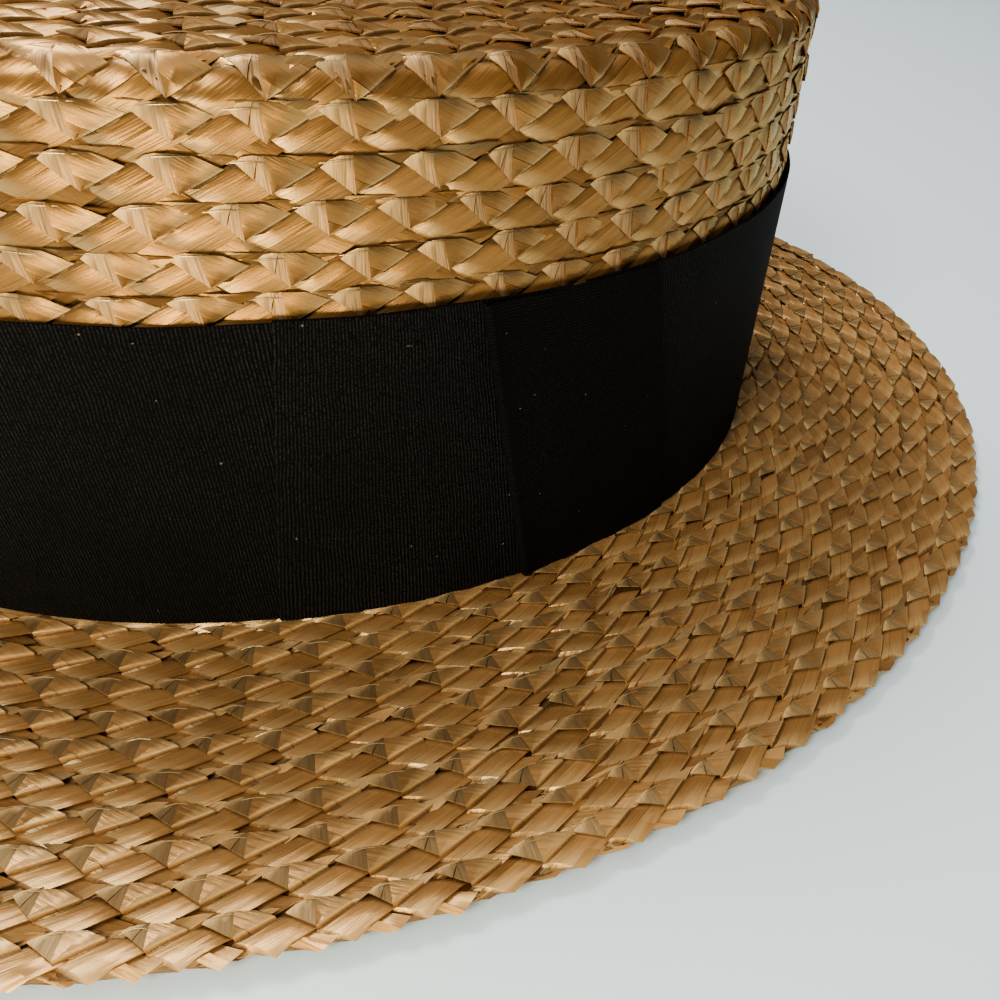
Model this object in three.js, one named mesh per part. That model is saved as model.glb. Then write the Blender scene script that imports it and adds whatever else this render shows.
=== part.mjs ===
// A straw boater: a stiff oval hat of sewn straw plait, with a flat crown, a flat brim and a
// wide grosgrain ribbon that is finished at the side with a flat bow.
//
// Millimetres, +Z up. The hat rests on the underside of its brim, on the ring next to the head
// opening, at Z = 0. X is the long way of the head. -Y is the wearer's left, which carries the bow.
//
// Every level of the hat is an oval about the Z axis. A piece is therefore described by its
// profile: offsets out from the foot of the crown, and heights. Round pieces turn that profile
// once about Z, the bow's pieces bend a plate along a stretch of it, and both are then eased from
// a circle to the oval.
import * as THREE from 'three';
import { mergeVertices } from 'three/addons/utils/BufferGeometryUtils.js';

// ---------------------------------------------------------------- driving dimensions

const CROWN_HALF_LENGTH = 102.6;  // outside of the straw at the foot of the crown, along X
const CROWN_HALF_WIDTH = 78.6;    // the same along Y; the head opening is 2.4 mm inside it
const STRAW = 2.4;                // thickness of the sewn plait
const GAP = 0.3;                  // air between neighbouring pieces

const CROWN_HEIGHT = 95;          // from the top of the brim to the flat top
const CROWN_FLARE = 3;            // the crown is this much further out at its top
const TURN_RADIUS = 4;            // outside turn from the side into the top
const TURN_DEPTH = 10;            // how far the side's last row reaches in over the top
const TIP_RISE = 1;               // the top is domed by this much

const BRIM_WIDTH = 61.4;          // from the crown's straw to the edge of the brim
const BRIM_RISE = 3;              // the edge is this much higher than the ring that rests
const SEAT_WIDTH = 14;            // flat part of the brim next to the crown
const EDGE_WIDTH = 8;             // the outermost row of plait, which is sewn on double
const EDGE_THICKNESS = 3.2;
const EDGE_ROUNDING = 1.1;

const RIBBON = 1.0;               // thickness of the ribbon
const BAND_WIDTH = 61;            // height of the ribbon above the brim
const LOOP = 1.2;                 // a folded loop of the bow, two layers thick
const KNOT = 1.0;                 // the wrap over the middle of the bow
const BOW_OVERHANG = 0.6;         // the bow is this much higher than the band
const LOOP_PARTING = 0.3;         // degrees left free between the loops under the knot

// Ends of the bow's pieces, in degrees round the oval from +X, at the foot and at the top edge.
const FRONT_FOLD = { foot: 264.0, top: 268.9 };
const KNOT_FRONT = { foot: 288.4, top: 284.4 };
const KNOT_BACK = { foot: 309.8, top: 303.0 };
const BACK_FOLD = { foot: 345.0, top: 347.0 };

const ROUND_STEPS = 72;           // facets once round the oval
const PLATE_STEP = 3;             // degrees to a facet along the bow
const PLATE_LEVELS = 4;           // facets up the bow
const CORNER_STEPS = 4;           // facets round a turned corner
const TIP_RINGS = 5;              // facets from the middle of the top to its edge

const COLOURS = { straw: 0xb98a4e, ribbon: 0x171312 };

// ---------------------------------------------------------------- the oval and its profiles

const MEAN_RADIUS = (CROWN_HALF_LENGTH + CROWN_HALF_WIDTH) / 2;
const BRIM_TOP = STRAW;
const CROWN_TOP = BRIM_TOP + CROWN_HEIGHT;

// The crown's side leans out evenly from its foot to its top.
const sideOffset = (height) => CROWN_FLARE * (height - BRIM_TOP) / CROWN_HEIGHT;

// The brim is flat next to the crown and then rises evenly to its edge.
function brimLift(offset) {
  const outward = Math.max(0, offset - SEAT_WIDTH) / (BRIM_WIDTH - SEAT_WIDTH);
  return BRIM_RISE * outward;
}

// Points on a quarter circle, from one angle to the other, in degrees.
function corner(centreOffset, centreHeight, radius, from, to) {
  const arc = new THREE.EllipseCurve(
    centreOffset, centreHeight, radius, radius,
    THREE.MathUtils.degToRad(from), THREE.MathUtils.degToRad(to), from > to,
  );
  return arc.getPoints(CORNER_STEPS).map((point) => [point.x, point.y]);
}

// ---------------------------------------------------------------- making a piece

// Drops what would keep equal corners apart, so that the surface is closed.
function closed(geometry) {
  geometry.deleteAttribute('normal');
  geometry.deleteAttribute('uv');
  const merged = mergeVertices(geometry, 1e-4);
  merged.computeVertexNormals();
  return merged;
}

// Moves a point at a given angle, offset and height to its place on the oval.
function putOnOval(position, index, angle, offset, height) {
  const x = (CROWN_HALF_LENGTH + offset) * Math.cos(angle);
  const y = (CROWN_HALF_WIDTH + offset) * Math.sin(angle);
  position.setXYZ(index, x, y, height);
}

// Turns a profile of [offset, height] points once round the oval. The points run anticlockwise.
function ovalRing(profile) {
  const outline = [...profile, profile[0]]
    .map(([offset, height]) => new THREE.Vector2(MEAN_RADIUS + offset, height));
  const ring = new THREE.LatheGeometry(outline, ROUND_STEPS);
  ring.rotateX(Math.PI / 2);
  const position = ring.getAttribute('position');
  for (let i = 0; i < position.count; i += 1) {
    const [x, y, height] = [position.getX(i), position.getY(i), position.getZ(i)];
    putOnOval(position, i, Math.atan2(y, x), Math.hypot(x, y) - MEAN_RADIUS, height);
  }
  return closed(ring);
}

// Bends a flat plate along the crown's side, between two slanting ends.
function bentPlate({ start, end, standOff, thickness, foot, top }) {
  const steps = Math.ceil((end.foot - start.foot) / PLATE_STEP);
  const plate = new THREE.BoxGeometry(1, 1, 1, steps, 1, PLATE_LEVELS);
  const position = plate.getAttribute('position');
  for (let i = 0; i < position.count; i += 1) {
    const along = position.getX(i) + 0.5;
    const inward = position.getY(i) + 0.5;
    const up = position.getZ(i) + 0.5;
    const height = foot + (top - foot) * up;
    const from = start.foot + (start.top - start.foot) * up;
    const to = end.foot + (end.top - end.foot) * up;
    const angle = THREE.MathUtils.degToRad(from + (to - from) * along);
    const offset = sideOffset(height) + standOff + thickness * (1 - inward);
    putOnOval(position, i, angle, offset, height);
  }
  return closed(plate);
}

function piece(name, geometry, colour, roughness) {
  const material = new THREE.MeshStandardMaterial({ color: colour, roughness, metalness: 0 });
  const mesh = new THREE.Mesh(geometry, material);
  mesh.name = name;
  return mesh;
}

const strawPiece = (name, geometry) => piece(name, geometry, COLOURS.straw, 0.55);
const ribbonPiece = (name, geometry) => piece(name, geometry, COLOURS.ribbon, 0.85);

// ---------------------------------------------------------------- straw

// The crown's side stands on the brim and turns in over the top, one wall all the way.
function crownSide() {
  const foot = BRIM_TOP + GAP;
  const turnHeight = CROWN_TOP - TURN_RADIUS;
  const turnOffset = sideOffset(turnHeight) - TURN_RADIUS;
  const rim = CROWN_FLARE - TURN_DEPTH;
  return ovalRing([
    [sideOffset(foot), foot],
    ...corner(turnOffset, turnHeight, TURN_RADIUS, 0, 90),
    [rim, CROWN_TOP],
    [rim, CROWN_TOP - STRAW],
    ...corner(turnOffset, turnHeight, TURN_RADIUS - STRAW, 90, 0),
    [sideOffset(foot) - STRAW, foot],
  ]);
}

// The flat top is a slightly domed oval plate that fills the ring left by the side.
function crownTip() {
  const rim = CROWN_FLARE - TURN_DEPTH - GAP;
  const domed = (fraction) => CROWN_TOP + TIP_RISE * (1 - fraction * fraction);
  const fractions = Array.from({ length: TIP_RINGS + 1 }, (_, ring) => ring / TIP_RINGS);
  const underside = fractions.map((f) => new THREE.Vector2(f, domed(f) - STRAW));
  const upperside = fractions.reverse().map((f) => new THREE.Vector2(f, domed(f)));
  const tip = new THREE.LatheGeometry([...underside, ...upperside], ROUND_STEPS);
  tip.rotateX(Math.PI / 2);
  tip.scale(CROWN_HALF_LENGTH + rim, CROWN_HALF_WIDTH + rim, 1);
  return closed(tip);
}

// The brim starts level with the inside of the crown and stops short of its edge row.
function brim() {
  const inner = -STRAW;
  const outer = BRIM_WIDTH - EDGE_WIDTH - GAP;
  const lift = brimLift(outer);
  return ovalRing([
    [inner, 0],
    [SEAT_WIDTH, 0],
    [outer, lift],
    [outer, lift + STRAW],
    [SEAT_WIDTH, BRIM_TOP],
    [inner, BRIM_TOP],
  ]);
}

// The edge row is the plait folded under itself: thicker than the brim, with a rounded outside.
function brimEdge() {
  const inner = BRIM_WIDTH - EDGE_WIDTH;
  const low = brimLift(inner);
  const high = brimLift(BRIM_WIDTH);
  const drop = EDGE_THICKNESS - STRAW;
  const roundFrom = BRIM_WIDTH - EDGE_ROUNDING;
  return ovalRing([
    [inner, low - drop / 2],
    ...corner(roundFrom, high - drop + EDGE_ROUNDING, EDGE_ROUNDING, -90, 0),
    ...corner(roundFrom, high + STRAW - EDGE_ROUNDING, EDGE_ROUNDING, 0, 90),
    [inner, low + STRAW],
  ]);
}

// ---------------------------------------------------------------- ribbon

const RIBBON_FOOT = BRIM_TOP + GAP;
const RIBBON_TOP = BRIM_TOP + BAND_WIDTH;

// The band goes once round the crown and passes under the bow.
function hatBand() {
  const wall = (height, out) => [sideOffset(height) + GAP + out, height];
  return ovalRing([
    wall(RIBBON_FOOT, 0),
    wall(RIBBON_FOOT, RIBBON),
    wall(RIBBON_TOP, RIBBON),
    wall(RIBBON_TOP, 0),
  ]);
}

// A line across the bow, part of the way from one of its ends to the other.
function between(start, end, part) {
  return {
    foot: start.foot + (end.foot - start.foot) * part,
    top: start.top + (end.top - start.top) * part,
  };
}

const turned = (line, degrees) => ({ foot: line.foot + degrees, top: line.top + degrees });

// Each loop is a flat fold that lies on the band and ends under the middle of the knot.
function bowLoop(start, end) {
  return bentPlate({
    start,
    end,
    standOff: GAP + RIBBON + GAP,
    thickness: LOOP,
    foot: RIBBON_FOOT,
    top: RIBBON_TOP + BOW_OVERHANG,
  });
}

// The knot is a short length of ribbon wrapped over the inner ends of both loops.
function bowKnot() {
  return bentPlate({
    start: KNOT_FRONT,
    end: KNOT_BACK,
    standOff: GAP + RIBBON + GAP + LOOP + GAP,
    thickness: KNOT,
    foot: RIBBON_FOOT,
    top: RIBBON_TOP + BOW_OVERHANG,
  });
}

// ---------------------------------------------------------------- assembly

const knotMiddle = between(KNOT_FRONT, KNOT_BACK, 0.5);

const boater = new THREE.Group();
boater.add(
  strawPiece('crown_tip', crownTip()),
  strawPiece('crown_side', crownSide()),
  strawPiece('brim', brim()),
  strawPiece('brim_edge', brimEdge()),
  ribbonPiece('hat_band', hatBand()),
  ribbonPiece('bow_front_loop', bowLoop(FRONT_FOLD, turned(knotMiddle, -LOOP_PARTING))),
  ribbonPiece('bow_back_loop', bowLoop(turned(knotMiddle, LOOP_PARTING), BACK_FOLD)),
  ribbonPiece('bow_knot', bowKnot()),
);

export default boater;
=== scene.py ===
# %% [markdown]
# # A straw boater
#
# This lesson builds a stiff oval straw hat around its frame: real plaited straw, row by row, and a
# grosgrain ribbon with a flat bow. The frame holds the true sizes, so every piece starts from it.

# %% Load the frame
import math

import bpy
import numpy as np
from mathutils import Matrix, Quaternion, Vector


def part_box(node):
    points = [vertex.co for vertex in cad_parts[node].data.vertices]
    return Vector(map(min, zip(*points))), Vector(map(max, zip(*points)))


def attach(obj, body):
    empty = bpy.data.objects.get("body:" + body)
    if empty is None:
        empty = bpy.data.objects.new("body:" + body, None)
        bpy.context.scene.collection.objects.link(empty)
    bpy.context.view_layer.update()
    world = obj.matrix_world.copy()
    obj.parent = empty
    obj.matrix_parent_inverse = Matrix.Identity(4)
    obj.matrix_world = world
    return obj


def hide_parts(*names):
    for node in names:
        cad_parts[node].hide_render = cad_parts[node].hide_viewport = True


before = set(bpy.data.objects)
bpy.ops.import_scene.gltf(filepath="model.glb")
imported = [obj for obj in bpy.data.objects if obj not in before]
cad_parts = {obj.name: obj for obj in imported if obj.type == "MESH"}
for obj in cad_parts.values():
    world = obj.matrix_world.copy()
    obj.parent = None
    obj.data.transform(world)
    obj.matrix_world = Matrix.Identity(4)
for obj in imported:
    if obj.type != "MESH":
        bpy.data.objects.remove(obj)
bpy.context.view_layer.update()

MM = 0.001

# %% [markdown]
# ## The camera
#
# The hat is seen from close by, a little above the crown, looking down at the foot of the ribbon.
# A short lens that near gives the strong perspective of a small thing held close.

# %% Camera
def add_camera(place, aim, lens, roll_degrees, shift):
    data = bpy.data.cameras.new("camera")
    camera = bpy.data.objects.new("camera", data)
    bpy.context.collection.objects.link(camera)
    data.lens = lens
    data.sensor_width = 36.0
    data.shift_x = shift
    data.clip_start = 0.005
    camera.location = place
    look = (Vector(aim) - Vector(place)).to_track_quat("-Z", "Y")
    roll = Quaternion((0, 0, 1), math.radians(roll_degrees))
    camera.rotation_mode = "QUATERNION"
    camera.rotation_quaternion = look @ roll
    bpy.context.scene.camera = camera
    return camera


WALL = 2.4 * MM
camera = add_camera(
    place=(0.00997, -0.19977, 0.13005),
    aim=(0.06845, -0.05997, WALL),
    lens=32.28,
    roll_degrees=7.84,
    shift=-0.167,
)
print("camera", [round(v, 3) for v in camera.location])

# %% [markdown]
# ## The shape that the straw follows
#
# A boater is one long plait, sewn row over row: out from the middle of the top, over the edge, down
# the side and out along the brim. So the straw needs one path, the middle of the wall from the
# centre of the top to the edge of the brim. Each point of the path is an offset from the foot of
# the crown and a height. Every level of the hat is an oval, so an angle completes the place.

# %% The path down the middle of the wall
side_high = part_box("crown_side")[1]
edge_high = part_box("brim_edge")[1]
tip_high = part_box("crown_tip")[1]

FLARE = 3.0 * MM             # how far the crown leans out from its foot to its top
TURN = 4.0 * MM              # radius of the outside of the top edge
SEAT = 14.0 * MM             # width of the brim that lies flat round the crown
FOOT_FILLET = 3.6 * MM
EDGE_CURL = 0.7 * MM
UNDER_LAP = 5.0 * MM         # how far the last row runs back under the brim
HALF_WALL = WALL / 2
TOP = side_high.z
CROWN_HEIGHT = TOP - WALL
BRIM_RISE = edge_high.z - WALL
widest = FLARE * (CROWN_HEIGHT - TURN) / CROWN_HEIGHT
FOOT_X = side_high.x - widest
FOOT_Y = side_high.y - widest
BRIM_WIDTH = edge_high.x - FOOT_X
TIP_RISE = tip_high.z - TOP
STEP = 0.2 * MM              # from one point of the path to the next


def arc_points(centre, radius, start, end):
    """Points on an arc of the path, with angles in degrees."""
    count = max(6, int(abs(math.radians(end - start)) * radius / STEP))
    turn = np.radians(np.linspace(start, end, count))
    return np.stack([centre[0] + radius * np.cos(turn), centre[1] + radius * np.sin(turn)], 1)


def line_points(start, end):
    count = max(2, int(math.dist(start, end) / STEP))
    return np.linspace(start, end, count)


def wall_path():
    """Offset and height along the middle of the wall, from the centre of the top outwards."""
    turn_centre = (widest - TURN, TOP - TURN)
    turn_radius = TURN - HALF_WALL
    tip = line_points((-FOOT_Y, TOP - HALF_WALL), (turn_centre[0], TOP - HALF_WALL))
    outward = (tip[:, 0] + FOOT_Y) / (turn_centre[0] + FOOT_Y)
    tip[:, 1] += TIP_RISE * (1 - outward ** 2)
    over = arc_points(turn_centre, turn_radius, 90, 0)
    fillet_centre = (FOOT_FILLET - HALF_WALL, HALF_WALL + FOOT_FILLET)
    fillet = arc_points(fillet_centre, FOOT_FILLET, 180, 270)
    side = line_points(over[-1], fillet[0])
    curl_centre = (BRIM_WIDTH - EDGE_CURL, HALF_WALL + BRIM_RISE - EDGE_CURL)
    curl = arc_points(curl_centre, EDGE_CURL, 90, -90)
    flat = line_points(fillet[-1], (SEAT, HALF_WALL))
    rise = line_points((SEAT, HALF_WALL), curl[0])
    slope = BRIM_RISE / (BRIM_WIDTH - SEAT)
    under = line_points(curl[-1], (curl[-1][0] - UNDER_LAP, curl[-1][1] - UNDER_LAP * slope))
    parts = [tip, over, side, fillet, flat, rise, curl, under]
    lengths = [float(np.hypot(*np.diff(p, axis=0).T).sum()) for p in parts]
    points = np.concatenate([parts[0]] + [p[1:] for p in parts[1:]])
    return points, np.cumsum([0.0] + lengths)


# Each mark is where a part of the path starts: 1 is the turn at the top, 6 the curl of the edge.
path, marks = wall_path()
AT_TURN = marks[1]
AT_EDGE = marks[6]
along = np.concatenate([[0.0], np.cumsum(np.hypot(*np.diff(path, axis=0).T))])
tangent = np.gradient(path, along, axis=0)
tangent /= np.linalg.norm(tangent, axis=1)[:, None]
print("path marks in mm", np.round(marks / MM, 1), "foot", round(FOOT_X / MM, 1), round(FOOT_Y / MM, 1))

# %% [markdown]
# A place on the hat is then three numbers: the angle round the oval, the distance down the path and
# the lift out of the wall. The rows are sewn by length, so each oval is also measured along itself.

# %% Places on the wall
ROUND_STEPS = 1440           # four to a degree


def on_wall(angle, distance, lift):
    """The place at an angle, a distance down the path and a lift out of the middle of the wall."""
    offset = np.interp(distance, along, path[:, 0])
    height = np.interp(distance, along, path[:, 1])
    out = np.interp(distance, along, tangent[:, 0])
    rise = np.interp(distance, along, tangent[:, 1])
    a, b = FOOT_X + offset, FOOT_Y + offset
    normal_x, normal_y = np.cos(angle) * b, np.sin(angle) * a
    size = np.maximum(np.hypot(normal_x, normal_y), 1e-9)    # never nothing, even at the centre
    across = -rise * lift
    x = a * np.cos(angle) + across * normal_x / size
    y = b * np.sin(angle) + across * normal_y / size
    return np.stack([x, y, height + out * lift], 1)


def oval_angles(distance):
    """Angle against length round the oval at a distance down the path."""
    offset = float(np.interp(distance, along, path[:, 0]))
    turn = np.linspace(0, 2 * math.pi, ROUND_STEPS + 1)
    x, y = (FOOT_X + offset) * np.cos(turn), (FOOT_Y + offset) * np.sin(turn)
    length = np.concatenate([[0.0], np.cumsum(np.hypot(np.diff(x), np.diff(y)))])
    return turn, length


print("length round the top edge in mm", round(oval_angles(AT_TURN)[1][-1] / MM))

# %% [markdown]
# ## One stitch of plait
#
# Split straws cross each other at a flat angle, over and under. At the upper edge of the plait each
# straw is folded back, which makes a tooth with a crease down its middle: on one side the fibres
# stand up, on the other they run down to the right. Below the teeth lie the straws that run the
# other way. One stitch is therefore three pieces of flat straw and a stitch of thread. Each is a
# grid that is bent into place and given a thickness, so its edges catch the light as real ones do.
#
# The crown was pressed smooth on its block. On the brim the plait is flatter, and its ends stand up.

# %% The lattice of the plait
PITCH = 10.3 * MM                      # from tooth to tooth
STRAW_THICKNESS = 0.26 * MM
TOOTH_AT = 4.6 * MM                    # middle of the tooth, along its stitch
FOLD_LINE = 0.08 * MM                  # where the straws turn back, below the row's own edge
LEVEL_SCATTER = 0.04                   # chance differences in level along a straw, in mm
FOLD_SCATTER = 0.06                    # and from fold to fold
CORNER_SCATTER = 0.25                  # chance differences in place of a fold's corner, in mm
CREASE_LEVEL = 1.02                    # the crest of a tooth, in mm
CREASE_FALL = 0.26                     # how much lower its crease starts, at the folded edge
KIND_DOWN, KIND_UP, KIND_FOLD, KIND_THREAD = 0.0, 1.0, 2.0, 3.0
CROWN_WEAVE = {
    "course": 2.90 * MM,               # from one course of crossings to the next
    "tooth": 1.75 * MM,                # middle of the tooth below the folded edge
    "half": 0.53,                      # half of a straw's width, in lattice steps
    "reach": 0.56,                     # how far a tooth's right half runs before it goes under
    # Levels in mm, one for each station along the straw that runs down and the one that runs up.
    "down": [0.82, 0.80, 0.52, 0.44, -0.02, -0.50, -0.10, 0.42],
    "up": [-0.50, -0.10, 0.26, 0.44, 0.30, 0.05, -0.50, -0.10, 0.40],
    "lip": 0.20,                       # how far a straw's lower edge stands up, in mm
    "bulge": 0.50,                     # how round a straw is across, in mm
    "corner": (1.7, -0.5),             # how far a fold's outer corner is pulled in, in mm
    "corner_level": 0.66,              # and its level, in mm
    "sag": (0.0, 0.15),                # the least and the most that the thread sags, in mm
    "thread": 0.05 * MM,               # radius of the thread
}
BRIM_WEAVE = {
    "course": 2.45 * MM,
    "tooth": 1.55 * MM,
    "half": 0.51,
    "reach": 0.52,
    "down": [0.95, 0.92, 0.92, 0.84, 0.20, -0.50, -0.05, 0.50],
    "up": [-0.50, -0.05, 0.46, 0.46, 0.36, 0.10, -0.50, -0.10, 0.45],
    "lip": 0.26,
    "bulge": 0.18,
    "corner": (1.1, -0.4),
    "corner_level": 0.88,
    "sag": (0.0, 0.5),
    "thread": 0.055 * MM,
}


def lattice(weave):
    """The tooth's middle, the step down to the right and the step up to the right."""
    tooth = np.array([TOOTH_AT, weave["tooth"]])
    return tooth, np.array([PITCH / 2, weave["course"]]), np.array([PITCH / 2, -weave["course"]])


for weave_name, weave in (("crown", CROWN_WEAVE), ("brim", BRIM_WEAVE)):
    lean = math.degrees(math.atan2(weave["course"], PITCH / 2))
    print(weave_name, "straws run at", round(lean), "degrees to the row")

# %% [markdown]
# A straw is thin and flat, so it starts as a grid. Two functions of across and along bend it: one
# gives its plan in the lattice, the other its level over and under its neighbours. The UV map keeps
# the run of the fibres, and attributes keep what the material needs to know later.

# %% Flat grids bent into straws
def grid_piece(name, columns, rows):
    """A flat grid, and where each of its points lies across and along it, from 0 to 1."""
    bpy.ops.object.select_all(action="DESELECT")
    bpy.ops.mesh.primitive_grid_add(x_subdivisions=columns, y_subdivisions=rows, size=2.0)
    piece = bpy.context.object
    piece.name = name
    place = get_points(piece)
    return piece, (place[:, 0] + 1) / 2, (place[:, 1] + 1) / 2


def get_points(piece):
    place = np.zeros(len(piece.data.vertices) * 3, np.float32)
    piece.data.vertices.foreach_get("co", place)
    return place.reshape(-1, 3).astype(float)


def set_points(piece, points):
    piece.data.vertices.foreach_set("co", np.asarray(points, np.float32).ravel())
    piece.data.update()


def mark(piece, name, values):
    """Keeps a number for each point of a piece."""
    attribute = piece.data.attributes.get(name) or piece.data.attributes.new(name, "FLOAT", "POINT")
    attribute.data.foreach_set("value", np.asarray(values, np.float32))


def thicken(piece, thickness):
    modifier = piece.modifiers.new("thickness", "SOLIDIFY")
    modifier.thickness = thickness
    modifier.offset = -1.0
    bpy.context.view_layer.objects.active = piece
    bpy.ops.object.modifier_apply(modifier="thickness")


def set_fibres(piece, across, along_fibres):
    """The piece's UV map: across its fibres and along them, in metres."""
    loops = np.zeros(len(piece.data.loops), np.int32)
    piece.data.loops.foreach_get("vertex_index", loops)
    uv = np.stack([across[loops], along_fibres[loops]], 1).astype(np.float32)
    piece.data.uv_layers.active.data.foreach_set("uv", uv.ravel())


def bent_straw(name, columns, rows, kind, place, level, fibre_direction, wear_and_painted_light=None):
    """A piece of split straw: place gives its plan, level its height, from across and along.

    The last argument gives 1 where a crest or lip gets a painted highlight and -1 where the gap beside it
    gets painted shade.
    """
    piece, across, up = grid_piece(name, columns, rows)
    plan = place(across, up)
    height = level(across, up)
    fibre = np.array(fibre_direction) / np.hypot(*fibre_direction)
    side = np.array([-fibre[1], fibre[0]])
    set_points(piece, np.stack([plan[:, 0], -plan[:, 1], height], 1))
    set_fibres(piece, plan @ side, plan @ fibre)
    mark(piece, "kind", np.full(len(across), kind))
    mark(piece, "wear_and_painted_light", np.zeros(len(across)) if wear_and_painted_light is None else wear_and_painted_light(across, up))
    return piece


def station_of(up, stations):
    return np.rint(up * (len(stations) - 1)).astype(int)


def columns_for(low, high):
    """A whole straw takes three columns of faces, a split one two."""
    return 3 if high - low > 0.6 else 2


print("a straw is", STRAW_THICKNESS / MM, "mm thick")

# %% [markdown]
# The first straw makes the right half of a tooth. It runs down to the right, dives under the next
# straw and comes out again. Its stations are distances along it, in steps of the lattice, and each
# has a level. The first two follow the tooth's crease, which is not square to the straw.

# %% The straw that runs down
def crease_at(b, weave):
    """Where a tooth's crease lies along the straw that runs down, for a place across it."""
    return np.where(b < 0, -b * weave["reach"] / weave["half"], -b)


def straw_running_down(weave, strips, rng):
    """The right half of a tooth and the straw that runs on from it, under the next and out again."""
    tooth, down, across_down = lattice(weave)
    half = weave["half"]
    reach = weave["reach"]
    stations = np.array([0.0, 0.0, reach - 0.07, reach, reach + 0.03, 1.00, 1.50, 2.08])
    levels = (np.array(weave["down"]) + rng.normal(0, LEVEL_SCATTER, len(stations))) * MM
    pieces = []
    for low, high in strips:
        def place(across, up):
            b = high + (low - high) * across
            station = station_of(up, stations)
            crease = crease_at(b, weave)
            a = np.select([station == 0, station == 1], [crease, (crease + reach) / 2], stations[station])
            a = np.maximum(a, crease)
            plan = tooth + a[:, None] * down + b[:, None] * across_down
            plan[:, 1] = np.maximum(plan[:, 1], FOLD_LINE)
            return plan

        def level(across, up):
            b = high + (low - high) * across
            station = station_of(up, stations)
            round_over = weave["bulge"] * MM * (1 - (b / half) ** 2)
            lip = weave["lip"] * MM * np.clip(-b / half, 0, 1) * (station < 4)
            return levels[station] + round_over + lip

        # Painted highlight on the crest and lip of the tooth, painted shade where the straw dives under the
        # next one.
        def wear_and_painted_light(across, up):
            station = station_of(up, stations)
            places = [station == 3, station == 2, (station == 4) | (station == 5)]
            return np.select(places, [1.0, 0.3, -1.0])

        columns, rows = columns_for(low, high), len(stations) - 1
        pieces.append(bent_straw("straw_down", columns, rows, KIND_DOWN, place, level, down, wear_and_painted_light))
    return pieces


# %% [markdown]
# The second straw fills the space below the teeth. It runs up to the right, under the next tooth and on to
# the folded edge. Its open side gets a painted shade, dark as the gap where two real straws lie side by
# side.

# %% The straw that runs up
def straw_running_up(weave, strips, rng):
    """A straw that shows below the teeth, runs under the next tooth and up to the folded edge."""
    tooth, down, across_down = lattice(weave)
    half = weave["half"]
    stations = np.array([-1.15, -0.60, -0.48, 0.0, 0.60, 0.82, 1.0, 1.5, 2.04])
    levels = (np.array(weave["up"]) + rng.normal(0, LEVEL_SCATTER, len(stations))) * MM
    start = tooth + down
    covered = weave["reach"] - (1 - half)
    pieces = []
    for low, high in strips:
        def place(across, up):
            station = station_of(up, stations)
            a = low + (high - low) * across
            a = a + np.clip(-a / half, 0, 1) * covered * 0.8
            plan = start + a[:, None] * down + stations[station][:, None] * across_down
            plan[:, 1] = np.maximum(plan[:, 1], 0.0)
            return plan

        def level(across, up):
            station = station_of(up, stations)
            a = low + (high - low) * across
            lip = weave["lip"] * MM * np.clip(a / half, -1, 1)
            return levels[station] + weave["bulge"] * MM * (1 - (a / half) ** 2) + lip

        # Painted highlight on the lip where the straw comes up, painted shade where it goes under and along
        # its open side.
        def wear_and_painted_light(across, up):
            station = station_of(up, stations)
            a = low + (high - low) * across
            painted_open_side_shade = np.where(a < 0.02 - half, -1.0, 0.0)
            return np.select([station == 2, (station == 1) | (station == 5)], [0.8, -1.0], painted_open_side_shade)

        columns, rows = columns_for(low, high), len(stations) - 1
        pieces.append(bent_straw("straw_up", columns, rows, KIND_UP, place, level, across_down, wear_and_painted_light))
    return pieces


# %% [markdown]
# The fold is the left half of a tooth. There the straw has turned over, its dull inner side shows,
# and its fibres stand upright between the crease and the outer corner. The thread that sews the rows
# together lies over it: a thin cylinder, cut into steps so that it can arch.

# %% The folded straw and the thread
def folded_straw(weave, strips, rng):
    """The left half of a tooth, where the straw stands upright between its two folds."""
    tooth, down, across_down = lattice(weave)
    half = weave["half"]
    corner_in = np.array(weave["corner"]) * MM + rng.normal(0, CORNER_SCATTER, 2) * MM
    lift = rng.normal(0, FOLD_SCATTER) * MM
    pieces = []
    for low, high in strips:
        def place(across, up):
            b = (-1 + 2 * across) * half
            part = low + (high - low) * up
            crease = tooth + crease_at(b, weave)[:, None] * down + b[:, None] * across_down
            outer = tooth - half * down + b[:, None] * across_down
            outer = outer + corner_in * ((1 - across) ** 1.5)[:, None]
            plan = crease + part[:, None] * (outer - crease)
            plan[:, 1] = np.maximum(plan[:, 1], FOLD_LINE)
            return plan

        def level(across, up):
            part = low + (high - low) * up
            at_crease = CREASE_LEVEL + weave["lip"] * 0.8 * (1 - across) - CREASE_FALL * across
            at_corner = weave["corner_level"] + 0.20 * across * (1 - across)
            return (at_crease + (at_corner - at_crease) * part ** 1.5) * MM + lift

        # A painted highlight on the fold's outer edge.
        def wear_and_painted_light(across, up):
            return (low + (high - low) * up) ** 6 * (across < 0.7)

        rows = max(1, round(3 * (high - low)))
        pieces.append(bent_straw("straw_fold", 3, rows, KIND_FOLD, place, level, (0.0, 1.0), wear_and_painted_light))
    return pieces


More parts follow.
